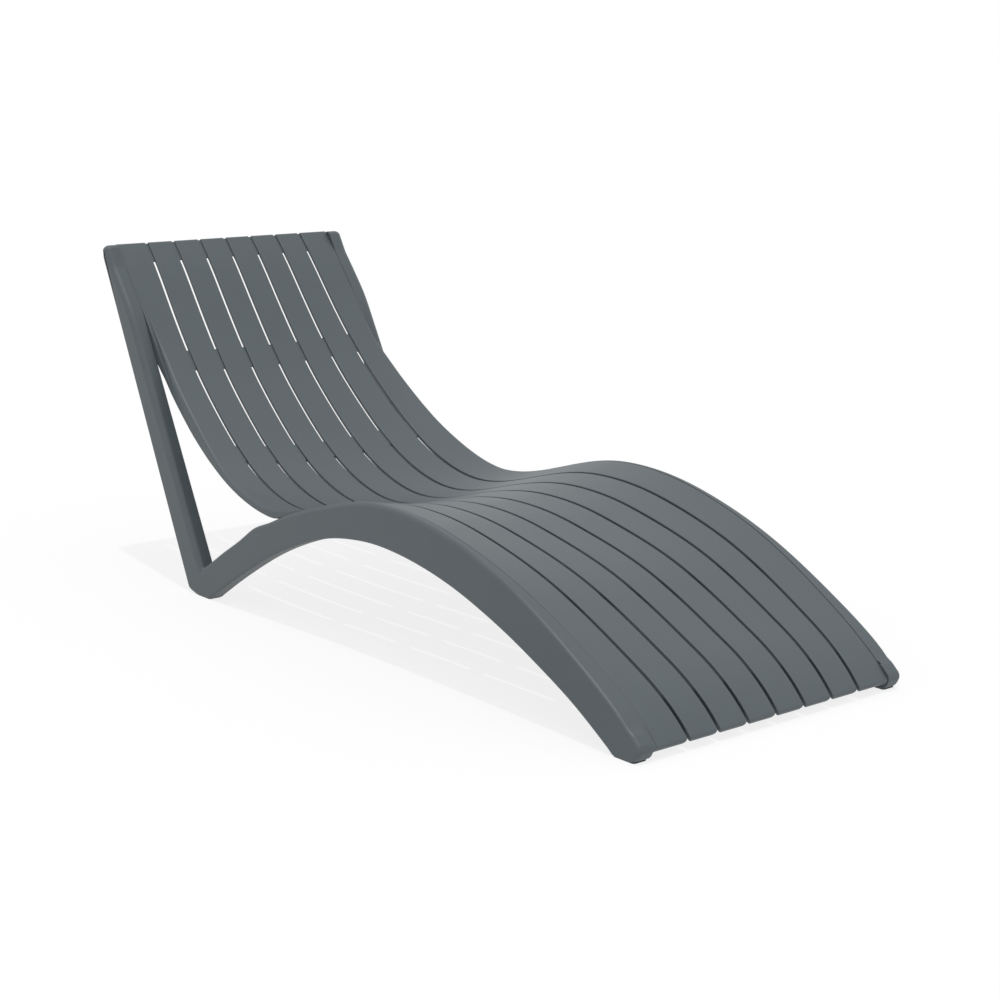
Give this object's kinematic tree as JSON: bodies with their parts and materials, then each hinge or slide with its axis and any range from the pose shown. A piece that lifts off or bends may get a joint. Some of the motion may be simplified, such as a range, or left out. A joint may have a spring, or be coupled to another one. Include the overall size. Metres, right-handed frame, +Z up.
{
  "type": "sun lounger",
  "caption": "Wave-shaped sun lounger of slate grey moulded plastic with lengthwise slats, arched side frames and raked rear legs.",
  "frame": {"origin": "centre of the bounding box at floor level, under the seat", "axes": "+X to the right seen from the foot end, +Y from the foot end to the head end, +Z up"},
  "size_m": [0.6308, 1.714, 0.6938],
  "materials": {
    "slate_plastic": "satin",
    "pad_rubber": "matte"
  },
  "bodies": {
    "root": {"side_frame_left": "slate_plastic", "side_frame_right": "slate_plastic", "slat_1": "slate_plastic", "slat_2": "slate_plastic", "slat_3": "slate_plastic", "slat_4": "slate_plastic", "slat_5": "slate_plastic", "slat_6": "slate_plastic", "slat_7": "slate_plastic", "slat_8": "slate_plastic", "cross_rail_foot_end": "slate_plastic", "cross_rail_lower_leg": "slate_plastic", "cross_rail_knee": "slate_plastic", "cross_rail_thigh": "slate_plastic", "cross_rail_seat": "slate_plastic", "cross_rail_lumbar": "slate_plastic", "cross_rail_shoulder": "slate_plastic", "cross_rail_head_end": "slate_plastic", "foot_pad_front_left": "pad_rubber", "foot_pad_front_right": "pad_rubber", "foot_pad_rear_left": "pad_rubber", "foot_pad_rear_right": "pad_rubber"}
  },
  "joints": []
}
